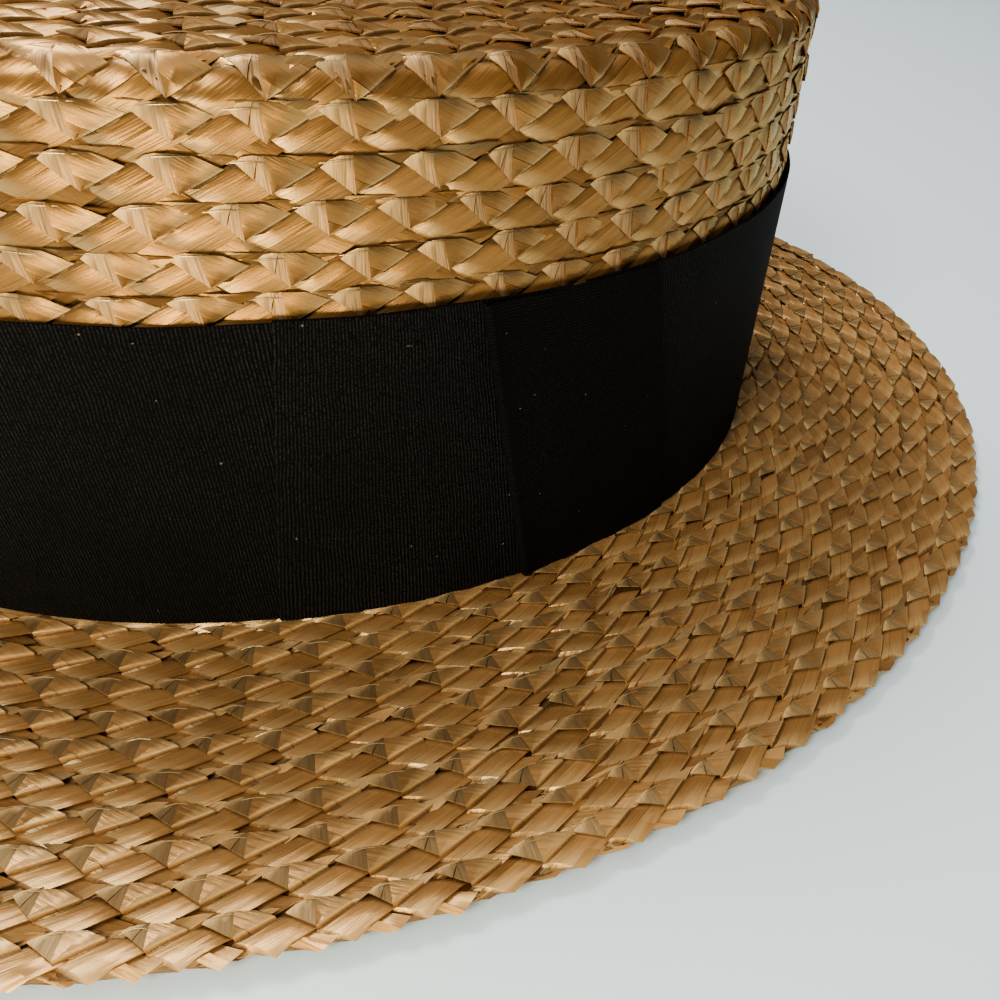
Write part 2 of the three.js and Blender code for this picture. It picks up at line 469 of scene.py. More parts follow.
def sewing_thread(weave, rng):
    """A stitch of thread that lies over the tooth just below the folded edge."""
    bpy.ops.object.select_all(action="DESELECT")
    steps, sides, radius = 4, 4, weave["thread"]
    bpy.ops.mesh.primitive_cylinder_add(vertices=sides, radius=1.0, depth=1.0, end_fill_type="TRIFAN")
    thread = bpy.context.object
    bpy.ops.object.mode_set(mode="EDIT")
    for number in range(1, steps):
        bpy.ops.mesh.select_all(action="SELECT")
        bpy.ops.mesh.bisect(plane_co=(0, 0, number / steps - 0.5), plane_no=(0, 0, 1))
    bpy.ops.object.mode_set(mode="OBJECT")
    # t runs from 0 to 1 along the thread. Its middle goes along the row, down the row and outwards.
    place = get_points(thread)
    t = place[:, 2] + 0.5
    sag = rng.uniform(*weave["sag"]) * MM
    slope = rng.uniform(-0.5, 0.5) * MM
    begin, reach = rng.uniform(0.6, 2.4) * MM, rng.uniform(4.0, 6.4) * MM
    centre_u = begin + t * reach
    centre_v = rng.uniform(0.1, 0.8) * MM + sag * (2 * t - 1) ** 2 + slope * (t - 0.5)
    centre_n = (0.76 + 0.42 * np.sin(math.pi * t)) * MM
    points = np.stack([centre_u, -(centre_v + radius * place[:, 0]), centre_n + radius * place[:, 1]], 1)
    set_points(thread, points)
    set_fibres(thread, centre_v, centre_u)
    mark(thread, "kind", np.full(len(t), KIND_THREAD))
    mark(thread, "wear_and_painted_light", np.zeros(len(t)))
    return thread


# %% [markdown]
# ### A block of stitches
#
# A real plait is never twice the same: some straws are split along their fibres, some are narrow,
# some teeth stand up. Eight different stitches side by side make the block that is repeated.

# %% Blocks of eight stitches
WHOLE = [(-1.0, 1.0)]
HALVES = [(-1.0, 0.03), (0.06, 1.0)]
UNEVEN = [(-1.0, -0.34), (-0.31, 1.0)]
ALL_FOLD = [(0.0, 1.0)]
SPLIT_FOLD = [(0.0, 0.46), (0.50, 1.0)]
STITCHES = [
    {"down": WHOLE, "up": WHOLE, "fold": ALL_FOLD},
    {"down": WHOLE, "up": HALVES, "fold": SPLIT_FOLD},
    {"down": UNEVEN, "up": WHOLE, "fold": ALL_FOLD},
    {"down": WHOLE, "up": WHOLE, "fold": ALL_FOLD},
    {"down": HALVES, "up": WHOLE, "fold": SPLIT_FOLD},
    {"down": WHOLE, "up": UNEVEN, "fold": SPLIT_FOLD},
    {"down": WHOLE, "up": WHOLE, "fold": ALL_FOLD},
    {"down": UNEVEN, "up": HALVES, "fold": ALL_FOLD},
]


def join(pieces, name):
    bpy.ops.object.select_all(action="DESELECT")
    for piece in pieces:
        piece.select_set(True)
    bpy.context.view_layer.objects.active = pieces[0]
    bpy.ops.object.join()
    pieces[0].name = name
    return pieces[0]


def triangles_in(piece):
    return sum(len(polygon.vertices) - 2 for polygon in piece.data.polygons)


def number_straws(straws, stitch):
    """Keeps the stitch that each straw belongs to, and which straw of it this is."""
    for order, straw in enumerate(straws):
        count = len(straw.data.vertices)
        mark(straw, "stitch", np.full(count, float(stitch)))
        mark(straw, "straw", np.full(count, float(order)))


def strips_of(strips, weave):
    """Where the strips of a straw begin and end across it, in lattice steps."""
    return [(low * weave["half"], high * weave["half"]) for low, high in strips]


def stitch_block(name, weave, hidden=False):
    """Eight stitches side by side. Hidden ones have no thread, and straws without a thickness."""
    rng = np.random.default_rng(11)
    made = []
    for number, stitch in enumerate(STITCHES):
        straws = straw_running_down(weave, strips_of(stitch["down"], weave), rng)
        straws += straw_running_up(weave, strips_of(stitch["up"], weave), rng)
        straws += folded_straw(weave, stitch["fold"], rng)
        if not hidden:
            for straw in straws:
                thicken(straw, STRAW_THICKNESS)
            straws.append(sewing_thread(weave, rng))
        number_straws(straws, number)
        made += straws
    return join(made, name)


crown_block = stitch_block("crown_block", CROWN_WEAVE)
brim_block = stitch_block("brim_block", BRIM_WEAVE)
plain_block = stitch_block("plain_block", CROWN_WEAVE, hidden=True)
for block in (crown_block, brim_block, plain_block):
    print(block.name, triangles_in(block), "triangles for", len(STITCHES), "stitches")

# %% [markdown]
# Inside the crown and under the brim the plait shows its back: plain crossings, without teeth. This
# layer is simpler, a sheet of wide straws with no thickness, and it closes every gap from behind.

# %% The back of the plait
BACK_HALF = 0.54             # half of a straw's width, in lattice steps, so that neighbours lap


def reverse_block(weave):
    """Plain crossings for as many stitches as the other blocks have, facing inwards."""
    tooth, down, across_down = lattice(weave)
    stations = np.array([-1.0, -0.5, 0.0, 0.5, 1.0])
    levels = np.array([-0.42, -0.62, -0.72, -0.62, -0.42]) * MM
    made = []
    for number in range(len(STITCHES)):
        straws = []
        for kind, middle, run, side in (
            (KIND_DOWN, tooth + down, down, across_down),
            (KIND_UP, tooth + down + across_down, across_down, down),
        ):
            def place(across, up):
                along_run = stations[station_of(up, stations)]
                shift = (-1 + 2 * across) * BACK_HALF
                return middle + along_run[:, None] * run + shift[:, None] * side

            def level(across, up):
                return levels[station_of(up, stations)]

            straws.append(bent_straw("straw_back", 2, 4, kind, place, level, run))
        number_straws(straws, number)
        made += straws
    block = join(made, "back_block")
    bpy.ops.object.mode_set(mode="EDIT")
    bpy.ops.mesh.select_all(action="SELECT")
    bpy.ops.mesh.flip_normals()
    bpy.ops.object.mode_set(mode="OBJECT")
    return block


back_block = reverse_block(BRIM_WEAVE)
print(back_block.name, triangles_in(back_block), "triangles for", len(STITCHES), "stitches")

# %% [markdown]
# ## Rows of plait
#
# The block is repeated with an array until there are enough stitches for a piece. Then each stitch
# is laid in its place: so far round the oval, so far down the wall. Small chance differences in
# every stitch keep the rows from looking stamped. Each row's folded edge lies on the row before.

# %% Where the rows start
TIP_ROW = 6.1 * MM
SIDE_ROW = 6.3 * MM
BRIM_ROW = 6.1 * MM
EDGE_ROW = 5.3 * MM
TURNED_ROW = 5.0 * MM        # measured down the middle of the wall, round the turn
ROW_MIDDLE = 3.0 * MM        # how far below its start a row is measured for its stitches
ROW_WAVE = 0.14 * MM         # how far a row strays from a true line
MOST_STRAWS = 16             # more than any stitch has
ROWS_ABOVE_BAND = 5
BRIM_ROWS = 10

# The plait starts as a straight fold along the middle of the top, so its first row starts before it.
tip_starts = AT_TURN - TIP_ROW * np.arange(int(AT_TURN / TIP_ROW) + 1, 0, -1)
first_side = AT_TURN + TURNED_ROW
upper_starts = first_side + SIDE_ROW * np.arange(ROWS_ABOVE_BAND)
last_brim = AT_EDGE - EDGE_ROW
brim_starts = last_brim - BRIM_ROW * np.arange(BRIM_ROWS - 1, -1, -1)
under_band = brim_starts[0] - (upper_starts[-1] + SIDE_ROW)
hidden_rows = round(under_band / SIDE_ROW)
lower_starts = upper_starts[-1] + SIDE_ROW + under_band / hidden_rows * np.arange(hidden_rows)
print("rows: top", len(tip_starts), "turned 1, side", len(upper_starts), "+", hidden_rows,
      "brim", len(brim_starts))

# %% [markdown]
# The array modifier repeats a block in a straight line, and then every point has a stitch of its own
# to belong to. Chance slides, turns and lifts whole stitches by a few tenths of a millimetre.

# %% Repeat and vary the stitches
def stitches_in(start):
    """How many stitches a row takes: its length over the pitch, and at least six at the centre."""
    length = oval_angles(start + ROW_MIDDLE)[1]
    return max(6, round(length[-1] / PITCH))


def repeated(block, name, count):
    """A copy of a block, repeated until it has at least count stitches."""
    bpy.ops.object.select_all(action="DESELECT")
    block.select_set(True)
    bpy.context.view_layer.objects.active = block
    bpy.ops.object.duplicate()
    piece = bpy.context.object
    piece.name = name
    repeat = piece.modifiers.new("repeat", "ARRAY")
    repeat.count = math.ceil(count / len(STITCHES))
    repeat.use_relative_offset = False
    repeat.use_constant_offset = True
    repeat.constant_offset_displace = (len(STITCHES) * PITCH, 0, 0)
    bpy.ops.object.modifier_apply(modifier="repeat")
    return piece


def marked(piece, name):
    """The whole numbers that mark() kept."""
    values = np.zeros(len(piece.data.vertices), np.float32)
    piece.data.attributes[name].data.foreach_get("value", values)
    return np.rint(values).astype(int)


def vary(u, v, lift, unit, total, weave, rng, spread):
    """Slides, turns, widens and lifts every stitch a little.

    u runs along the row, v down the row and lift outwards. unit is the stitch of each point.
    """
    slide = rng.normal(0, spread, total) * MM
    sink = rng.normal(0, spread * 0.7, total) * MM
    scale = 1 + rng.normal(0, 0.05, total)
    skew = rng.normal(0, 0.05, total)
    rise = rng.normal(0, 0.06, total) * MM
    tip_up = np.abs(rng.normal(0, 0.30, total)) * MM
    lean = rng.normal(0, 0.035, total)
    from_u, from_v = u - TOOTH_AT, v - weave["tooth"]
    u = TOOTH_AT + from_u * scale[unit] + skew[unit] * from_v + slide[unit]
    v = v + from_v * (scale[unit] - 1) * 0.5 + skew[unit] * from_u * 0.4
    v = v + sink[unit] * np.clip(v / (2 * MM), 0, 1)
    on_tooth = np.clip(1 - np.abs(from_u) / (0.45 * PITCH), 0, 1)
    on_tooth = on_tooth * np.clip(from_v / weave["course"] + 0.3, 0, 1.3) * (lift > 0.3 * MM)
    lift = lift + on_tooth * tip_up[unit] * 0.8
    lift = lift + lean[unit] * np.clip(from_u, -4 * MM, 4 * MM) + rise[unit]
    return u, v, lift


# %% [markdown]
# Each point of a stitch then goes so far round its row's oval and so far down the wall. Its level
# gets a tilt as well, because the folded edge of a row lies on the row before.

# %% Lay stitches in rows
def exposures(starts, exposure):
    """How much of each row shows: to the start of the next one, unless it is given."""
    if exposure is None:
        return np.append(np.diff(starts), starts[-1] - starts[-2])
    return np.full(len(starts), exposure)


def bend_onto_wall(starts, counts, row, slot, u, v, lift, rng):
    """The place on the hat of points at u along their stitch, v down their row and a lift."""
    points = np.zeros((len(u), 3))
    wobble = rng.uniform(0, 2 * math.pi, (len(starts), 2))
    phase = rng.uniform(0, 1, len(starts))
    for number, start in enumerate(starts):
        here = row == number
        turn, length = oval_angles(start + ROW_MIDDLE)
        pitch = length[-1] / counts[number]
        at = (slot[here] + phase[number]) * pitch + u[here] * pitch / PITCH
        laps = np.floor(at / length[-1])
        angle = np.interp(at - laps * length[-1], length, turn)
        wave = np.sin(5 * angle + wobble[number, 0]) + np.sin(11 * angle + wobble[number, 1])
        points[here] = on_wall(angle, start + v[here] + ROW_WAVE * wave, lift[here])
    return points


def lay_rows(name, block, weave, starts, seed, exposure=None, relief=1.0, tilt=0.45, spread=0.2, out=0.0):
    """Fills rows of the wall with stitches and returns them as one piece.

    relief scales the levels of the straws. In mm, tilt lifts a row's folded edge, spread is how far
    stitches slide by chance, and out lifts the whole row.
    """
    rng = np.random.default_rng(seed)
    counts = [stitches_in(start) for start in starts]
    total = sum(counts)
    piece = repeated(block, name, total)
    place = get_points(piece)
    copy = np.arange(len(place)) // len(block.data.vertices)
    unit = copy * len(STITCHES) + marked(piece, "stitch")
    spare = unit >= total
    unit = np.minimum(unit, total - 1)
    u = place[:, 0] - copy * len(STITCHES) * PITCH
    u, v, lift = vary(u, -place[:, 1], place[:, 2], unit, total, weave, rng, spread)
    row = np.repeat(np.arange(len(starts)), counts)[unit]
    slot = np.concatenate([np.arange(count) for count in counts])[unit]
    lift = lift * relief + tilt * MM * (1 - v / exposures(starts, exposure)[row]) + out * MM
    set_points(piece, bend_onto_wall(starts, counts, row, slot, u, v, lift, rng))
    mark(piece, "tone", rng.uniform(0, 1, (total, MOST_STRAWS))[unit, marked(piece, "straw")])
    mark(piece, "down_row", v / MM)
    mark(piece, "height", lift / MM)
    if spare.any():
        remove_points(piece, spare)
    return piece


def remove_points(piece, chosen):
    bpy.ops.object.select_all(action="DESELECT")
    bpy.context.view_layer.objects.active = piece
    piece.select_set(True)
    bpy.ops.object.mode_set(mode="EDIT")
    bpy.ops.mesh.select_mode(type="VERT")
    bpy.ops.mesh.select_all(action="DESELECT")
    bpy.ops.object.mode_set(mode="OBJECT")
    piece.data.vertices.foreach_set("select", chosen)
    bpy.ops.object.mode_set(mode="EDIT")
    bpy.ops.mesh.delete(type="VERT")
    bpy.ops.object.mode_set(mode="OBJECT")


# %% [markdown]
# ### The straw of the whole hat
#
# The top, the turned edge, the side and the brim are laid one after the other, each piece with its
# own seed. They stand for the plain walls of the frame. The crown was pressed, so its relief is low.
# The rows under the ribbon are never seen, so they take the block without thickness or thread.

# %% Lay the rows
def lay(name, block, weave, starts, seed, node, **settings):
    """Lays rows as one piece of straw that stands for a node of the frame."""
    piece = lay_rows(name, block, weave, starts, seed, **settings)
    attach(piece, "root")
    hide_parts(node)
    print(name, len(starts), "rows,", triangles_in(piece), "triangles")
    return piece


turn_rows = [AT_TURN, first_side]
back_flat = {"tilt": 0.0, "spread": 0.1}
straw_pieces = [
    lay("crown_top_plait", crown_block, CROWN_WEAVE, tip_starts, 1, "crown_tip", relief=0.9, tilt=0.3),
    lay("crown_edge_plait", crown_block, CROWN_WEAVE, turn_rows, 2, "crown_side", relief=0.75, tilt=0.22,
        out=0.1),
    lay("crown_upper_plait", crown_block, CROWN_WEAVE, upper_starts[1:], 3, "crown_side",
        relief=0.75, tilt=0.22, out=0.2),
    lay("crown_lower_plait", plain_block, CROWN_WEAVE, lower_starts, 4, "crown_side", relief=0.5, tilt=0.2),
    lay("brim_inner_plait", brim_block, BRIM_WEAVE, brim_starts[:5], 5, "brim", relief=1.05,
        spread=0.27),
    lay("brim_outer_plait", brim_block, BRIM_WEAVE, brim_starts[5:-1], 6, "brim", relief=1.1,
        spread=0.27),
    lay("brim_edge_plait", brim_block, BRIM_WEAVE, brim_starts[-1:], 7, "brim_edge", exposure=EDGE_ROW),
]
side_starts = np.concatenate([turn_rows, upper_starts[1:], lower_starts])
straw_pieces += [
    lay("crown_top_back", back_block, BRIM_WEAVE, tip_starts, 8, "crown_tip", **back_flat),
    lay("crown_side_back", back_block, BRIM_WEAVE, side_starts, 9, "crown_side", **back_flat),
    lay("brim_back", back_block, BRIM_WEAVE, brim_starts, 10, "brim", **back_flat),
]
for block in (crown_block, brim_block, plain_block, back_block):
    bpy.data.objects.remove(block)

# %% [markdown]
# ## The ribbon
#
# A grosgrain band goes round the foot of the crown. The bow on the wearer's left is flat: a loop to
# the front, a loop to the back and a narrow piece wrapped over the middle. Each is a strip that
# follows the crown. A station of a strip has an angle at its foot, another at its top, and a
# distance out from the crown. The stations of a loop go out on one layer and come back on the next.

# %% Strips of ribbon
band_low, band_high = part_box("hat_band")
RIBBON_FOOT = band_low.z + 0.1 * MM
RIBBON_TOP = band_high.z - 0.1 * MM
BOW_LOW = RIBBON_FOOT
BOW_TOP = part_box("bow_knot")[1].z - 0.05 * MM
BAND_CLOTH = 0.30 * MM
BOW_CLOTH = 0.28 * MM
JOIN_WITHIN = 0.02 * MM      # the two ends of the band meet closer than this
EDGE_WAVE = 0.12 * MM        # how unevenly the ribbon's upper edge runs
# Distances out from the straw, in mm.
BAND_OUT = 0.45
LOOP_BACK_OUT = 0.85
LOOP_FRONT_OUT = 1.22
KNOT_OUT = 1.62
print("ribbon", round((RIBBON_TOP - RIBBON_FOOT) / MM, 1), "mm wide")


def beside_crown(angle, height, stand_off):
    """A place beside the crown: angle, height and distance out from the straw."""
    offset = FLARE * (height - WALL) / CROWN_HEIGHT
    a, b = FOOT_X + offset, FOOT_Y + offset
    normal_x, normal_y = np.cos(angle) * b, np.sin(angle) * a
    size = np.hypot(normal_x, normal_y)
    x = a * np.cos(angle) + stand_off * normal_x / size
    y = b * np.sin(angle) + stand_off * normal_y / size
    return np.stack([x, y, height], -1)


def ribbon_strip(name, foot, top, stand_off, rows, low, high, closed=False, ripple=0.0):
    """A strip through stations: angles at foot and top in degrees, and distances in mm."""
    columns = len(foot) - 1
    piece, across, up = grid_piece(name, columns, rows)
    station = np.rint(across * columns).astype(int)
    angle = np.radians(np.asarray(foot)[station] * (1 - up) + np.asarray(top)[station] * up)
    edge = EDGE_WAVE * np.sin(angle * 23 + 1.0) * up
    height = low + (high - low) * up + edge
    soft = ripple * MM * np.sin(angle * 7 + up * 2.5) * np.sin(angle * 17 + up * 4.0)
    points = beside_crown(angle, height, np.asarray(stand_off)[station] * MM + soft)
    # The length of the strip is measured along its middle row of points.
    middle = points[np.argsort(station + up * 0.001, kind="stable")]
    middle = middle.reshape(columns + 1, rows + 1, 3)[:, rows // 2]
    length = np.concatenate([[0.0], np.cumsum(np.linalg.norm(np.diff(middle, axis=0), axis=1))])
    set_points(piece, points)
    set_fibres(piece, length[station], up * (high - low))
    if closed:
        weld(piece)
    return piece, float(length[-1])


def weld(piece):
    """Joins the last station of a closed strip to its first."""
    bpy.ops.object.select_all(action="DESELECT")
    piece.select_set(True)
    bpy.context.view_layer.objects.active = piece
    bpy.ops.object.mode_set(mode="EDIT")
    bpy.ops.mesh.select_all(action="SELECT")
    bpy.ops.mesh.remove_doubles(threshold=JOIN_WITHIN)
    bpy.ops.object.mode_set(mode="OBJECT")


def finish_cloth(piece, thickness):
    """Gives a strip its thickness, the right way round and softly shaded."""
    modifier = piece.modifiers.new("thickness", "SOLIDIFY")
    modifier.thickness = thickness
    modifier.offset = 0.0
    bpy.ops.object.select_all(action="DESELECT")
    piece.select_set(True)
    bpy.context.view_layer.objects.active = piece
    bpy.ops.object.modifier_apply(modifier="thickness")
    bpy.ops.object.mode_set(mode="EDIT")
    bpy.ops.mesh.select_all(action="SELECT")
    bpy.ops.mesh.normals_make_consistent(inside=False)
    bpy.ops.object.mode_set(mode="OBJECT")
    bpy.ops.object.shade_smooth_by_angle(angle=math.radians(50))


# %% [markdown]
# A loop of the bow is one length of ribbon, folded back on itself. Its stations run from the knot to
# the fold on the back layer, round a small half circle, and back to the knot on the front layer.

# %% Stations of a loop
LOOP_STEPS = 26              # stations on each layer
FOLD_REACH = 0.30            # how far the fold bulges past its own angle, in degrees
SETTLE = 0.10                # how much closer the loop lies at its fold than at the knot, in mm


def loop_stations(knot_foot, knot_top, fold_foot, fold_top):
    """Angles at foot and top in degrees, and distances out in mm."""
    back, front = LOOP_BACK_OUT, LOOP_FRONT_OUT
    out = np.linspace(0, 1, LOOP_STEPS)
    foot = knot_foot + (fold_foot - knot_foot) * out
    top = knot_top + (fold_top - knot_top) * out
    toward = np.sign(fold_foot - knot_foot)
    turn = np.linspace(0, math.pi, 7)[1:-1]
    past = toward * FOLD_REACH * np.sin(turn)
    rise = back + (front - back) * (1 - np.cos(turn)) / 2
    foot = np.concatenate([foot, fold_foot + past, foot[::-1]])
    top = np.concatenate([top, fold_top + past, top[::-1]])
    flat = SETTLE * out ** 2
    layer = np.concatenate([back - flat, rise - SETTLE, (front - flat)[::-1]])
    return foot, top, layer


print("a loop has", len(loop_stations(0.0, 0.0, 1.0, 1.0)[0]), "stations")

# %% [markdown]
# On the real hat the band is pulled tight, the loops lie flat on it, and the knot is wrapped over the
# middle with a puffed fold at its front edge. Every strip has the ribbon's width, and its length is
# measured along the middle of its stations.

# %% The band and the bow
circle = np.linspace(0.0, 360.0, 241)
band, band_length = ribbon_strip(
    "hat_band_ribbon", circle, circle, np.full(len(circle), BAND_OUT), 10, RIBBON_FOOT, RIBBON_TOP,
    closed=True, ripple=0.03)
finish_cloth(band, BAND_CLOTH)

front_loop, front_length = ribbon_strip(
    "bow_front_loop_ribbon", *loop_stations(298.2, 293.2, 264.3, 269.2), 10, BOW_LOW, BOW_TOP,
    ripple=0.05)
finish_cloth(front_loop, BOW_CLOTH)
back_loop, back_length = ribbon_strip(
    "bow_back_loop_ribbon", *loop_stations(300.0, 294.6, 344.7, 346.7), 10, BOW_LOW, BOW_TOP,
    ripple=0.05)
finish_cloth(back_loop, BOW_CLOTH)

# over runs from 0 at the knot's front edge to 1 at its back edge, with close stations at the fold.
over = np.concatenate([[0.0, 0.004, 0.012, 0.024, 0.04], np.linspace(0.07, 1, 24)])
puff = 1.7 * np.exp(-over / 0.07) * np.clip(over / 0.02, 0, 1) ** 0.5
knot, knot_width = ribbon_strip(
    "bow_knot_ribbon", 288.6 + 21.0 * over, 284.6 + 18.2 * over,
    KNOT_OUT + puff + 0.10 * np.sin(over * 9.0) * (over > 0.1), 12, BOW_LOW, BOW_TOP)
finish_cloth(knot, BOW_CLOTH)

ribbon_pieces = [band, front_loop, back_loop, knot]
for piece, node in zip(ribbon_pieces, ("hat_band", "bow_front_loop", "bow_back_loop", "bow_knot")):
    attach(piece, "root")
    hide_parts(node)
print("ribbon lengths", round(band_length, 3), round(front_length, 3), round(back_length, 3))

# %% [markdown]
# ## Straw
#
# Split straw is glossy on its outer skin and streaked along its fibres. Materials are made of
# nodes, and the same few kinds come again and again, so each kind gets a short helper first. A
# helper adds one node, connects what goes into it and returns the socket that comes out.

# %% Nodes for materials
def new_material(name):
    material = bpy.data.materials.new(name)
    material.use_nodes = True
    return material, material.node_tree.nodes["Principled BSDF"]


def node(material, kind, **values):
    made = material.node_tree.nodes.new(kind)
    for name, value in values.items():
        setattr(made, name, value)
    return made


def connect(material, value, socket):
    """Links a socket, or sets a plain value."""
    if hasattr(value, "links"):
        material.node_tree.links.new(value, socket)
    else:
        socket.default_value = value


def attribute(material, name):
    return node(material, "ShaderNodeAttribute", attribute_name=name).outputs["Fac"]


def calculate(material, operation, a, b=0.0):
    made = node(material, "ShaderNodeMath", operation=operation)
    connect(material, a, made.inputs[0])
    connect(material, b, made.inputs[1])
    return made.outputs["Value"]


def share(material, value, part):
    return calculate(material, "MULTIPLY", value, part)


def is_kind(material, kind, wanted):
    """1 where a straw is of the wanted kind and 0 elsewhere."""
    made = node(material, "ShaderNodeMath", operation="COMPARE")
    connect(material, kind, made.inputs[0])
    made.inputs[1].default_value = wanted
    made.inputs[2].default_value = 0.3
    return made.outputs["Value"]


def stretch(material, value, low, high, to_low=0.0, to_high=1.0):
    """Takes low to to_low and high to to_high, and stops at both."""
    made = node(material, "ShaderNodeMapRange", clamp=True)
    for number, part in enumerate((value, low, high, to_low, to_high)):
        connect(material, part, made.inputs[number])
    return made.outputs["Result"]


def noise(material, vector, scale, detail, roughness):
    made = node(material, "ShaderNodeTexNoise")
    connect(material, vector, made.inputs["Vector"])
    made.inputs["Scale"].default_value = scale
    made.inputs["Detail"].default_value = detail
    made.inputs["Roughness"].default_value = roughness
    return made.outputs["Fac"]


def blend(material, amount, first, second, mode="MIX"):
    made = node(material, "ShaderNodeMix", data_type="RGBA", blend_type=mode)
    connect(material, amount, made.inputs[0])
    connect(material, first, made.inputs[6])
    connect(material, second, made.inputs[7])
    return made.outputs[2]


def scaled(material, vector, scale):
    made = node(material, "ShaderNodeMapping")
    connect(material, vector, made.inputs["Vector"])
    made.inputs["Scale"].default_value = scale
    return made.outputs["Vector"]


def bump(material, height, strength, distance, before=None):
    made = node(material, "ShaderNodeBump")
    made.inputs["Strength"].default_value = strength
    made.inputs["Distance"].default_value = distance
    connect(material, height, made.inputs["Height"])
    if before is not None:
        connect(material, before, made.inputs["Normal"])
    return made.outputs["Normal"]


print("helpers", [made.__name__ for made in (attribute, calculate, share, stretch, noise, blend, bump)])

# %% [markdown]
# The UV map of every straw runs across and along its fibres, in metres. Noise that is stretched
# along them gives the fine streaks, and each straw's own tone shifts it, so that no two are alike.
# The crown was pressed darker and glossier than the brim, so the height above the floor tells them
# apart.

# %% Patterns of the straw
BRIM_STRAW_BELOW = 8 * MM
CROWN_STRAW_ABOVE = 14 * MM
STREAKS = (5200.0, 160.0, 1.0)         # across the fibres, along them, and not used
BROAD_STREAKS = (900.0, 90.0, 1.0)


def streak_places(material, uv, tone):
    """Where each straw reads its streaks: far apart along its fibres, close across them."""
    shift = node(material, "ShaderNodeCombineXYZ")
    connect(material, share(material, tone, 7.0), shift.inputs["X"])
    moved = node(material, "ShaderNodeVectorMath", operation="ADD")
    connect(material, scaled(material, uv, STREAKS), moved.inputs[0])
    connect(material, shift.outputs["Vector"], moved.inputs[1])
    return moved.outputs["Vector"]


def straw_patterns(material):
    """Numbers from 0 to 1 over the straw, which its colour and its gloss both read."""
    uv = node(material, "ShaderNodeUVMap").outputs["UV"]
    place = node(material, "ShaderNodeTexCoord").outputs["Object"]
    tone = attribute(material, "tone")
    kind = attribute(material, "kind")
    fibres = streak_places(material, uv, tone)
    level = node(material, "ShaderNodeSeparateXYZ")
    connect(material, place, level.inputs[0])
    height = level.outputs["Z"]
    return {
        "tone": tone,
        "fibres": fibres,
        "streaks": noise(material, fibres, 1.0, 3.0, 0.6),
        "broad": noise(material, scaled(material, uv, BROAD_STREAKS), 1.0, 2.0, 0.5),
        "patches": noise(material, place, 60.0, 3.0, 0.6),
        "folded": is_kind(material, kind, KIND_FOLD),
        "thread": is_kind(material, kind, KIND_THREAD),
        "on_brim": stretch(material, height, BRIM_STRAW_BELOW, CROWN_STRAW_ABOVE, 1.0, 0.0),
    }


print("brim straw below", BRIM_STRAW_BELOW, "crown straw above", CROWN_STRAW_ABOVE)

# %% [markdown]
# Clean straw runs from a dark to a light colour, by its tone, its streaks and broad patches. The folds show
# the dull inner side, dusty on the brim. Over that lie dirt near the seams, a painted highlight on crests,
# lips and fold edges, painted shade in the gaps between straws, and split fibres. Deep places get a painted
# shade as well.

# %% Colours of the straw
PRESSED = ((0.105, 0.038, 0.0065, 1), (0.35, 0.150, 0.030, 1))
FLAT = ((0.145, 0.059, 0.013, 1), (0.43, 0.212, 0.060, 1))
INNER_SIDE = ((0.13, 0.064, 0.023, 1), (0.38, 0.215, 0.092, 1))
DUST = (0.080, 0.056, 0.023, 1)
DIRT = (0.095, 0.068, 0.030, 1)
PAINTED_EDGE_HIGHLIGHT = (0.56, 0.34, 0.125, 1)
PAINTED_GAP_SHADE = (0.070, 0.033, 0.011, 1)
SPLIT = (0.075, 0.034, 0.012, 1)
THREAD = (0.38, 0.25, 0.115, 1)


def clean_colour(material, pattern):
    amount = calculate(material, "ADD", share(material, pattern["tone"], 0.5),
                       share(material, stretch(material, pattern["streaks"], 0.3, 0.7), 0.35))
    amount = calculate(material, "ADD", amount,
                       share(material, stretch(material, pattern["patches"], 0.35, 0.65), 0.2))
    pressed = blend(material, amount, *PRESSED)
    flat = blend(material, amount, *FLAT)
    outer = blend(material, pattern["on_brim"], pressed, flat)
    inner = blend(material, stretch(material, pattern["streaks"], 0.40, 0.60), *INNER_SIDE)
    inner = blend(material, share(material, pattern["on_brim"], 0.75), inner, DUST)
    return blend(material, share(material, pattern["folded"], 0.75), outer, inner)


def dirt_and_painted_light_colour(material, pattern, colour):
    near_seam = stretch(material, attribute(material, "down_row"), 0.1, 2.2, 1.0, 0.0)
    in_patches = stretch(material, pattern["patches"], 0.38, 0.58)
    dirt = calculate(material, "MULTIPLY", near_seam, in_patches)
    colour = blend(material, share(material, dirt, 0.75), colour, DIRT)
    wear_and_painted_light = attribute(material, "wear_and_painted_light")
    # Painted highlight on crests, lips and fold edges.
    painted_edge_highlight = stretch(material, wear_and_painted_light, 0.0, 1.0)
    colour = blend(material, share(material, painted_edge_highlight, 0.75), colour, PAINTED_EDGE_HIGHLIGHT)
    # Painted shade in the gaps where straws go under, and beside their open sides.
    painted_gap_shade = stretch(material, wear_and_painted_light, -0.35, -1.0)
    colour = blend(material, share(material, painted_gap_shade, 0.85), colour, PAINTED_GAP_SHADE)
    splits = noise(material, scaled(material, pattern["fibres"], (0.45, 0.35, 1.0)), 1.0, 2.0, 0.5)
    splits = stretch(material, splits, 0.64, 0.72)
    colour = blend(material, share(material, splits, 0.5), colour, SPLIT)
    return blend(material, pattern["thread"], colour, THREAD)


def depth_shade(material):
    """A shade by the level of the straw, in mm, a little redder as it gets darker."""
    deep = stretch(material, attribute(material, "height"), -0.25, 0.40, 0.24, 1.0)
    shade = node(material, "ShaderNodeCombineXYZ")
    for axis, power in (("X", 0.8), ("Y", 1.0), ("Z", 1.15)):
        connect(material, calculate(material, "POWER", deep, power), shade.inputs[axis])
    return shade.outputs["Vector"]


print("lightest crown straw", PRESSED[1][:3], "lightest brim straw", FLAT[1][:3])

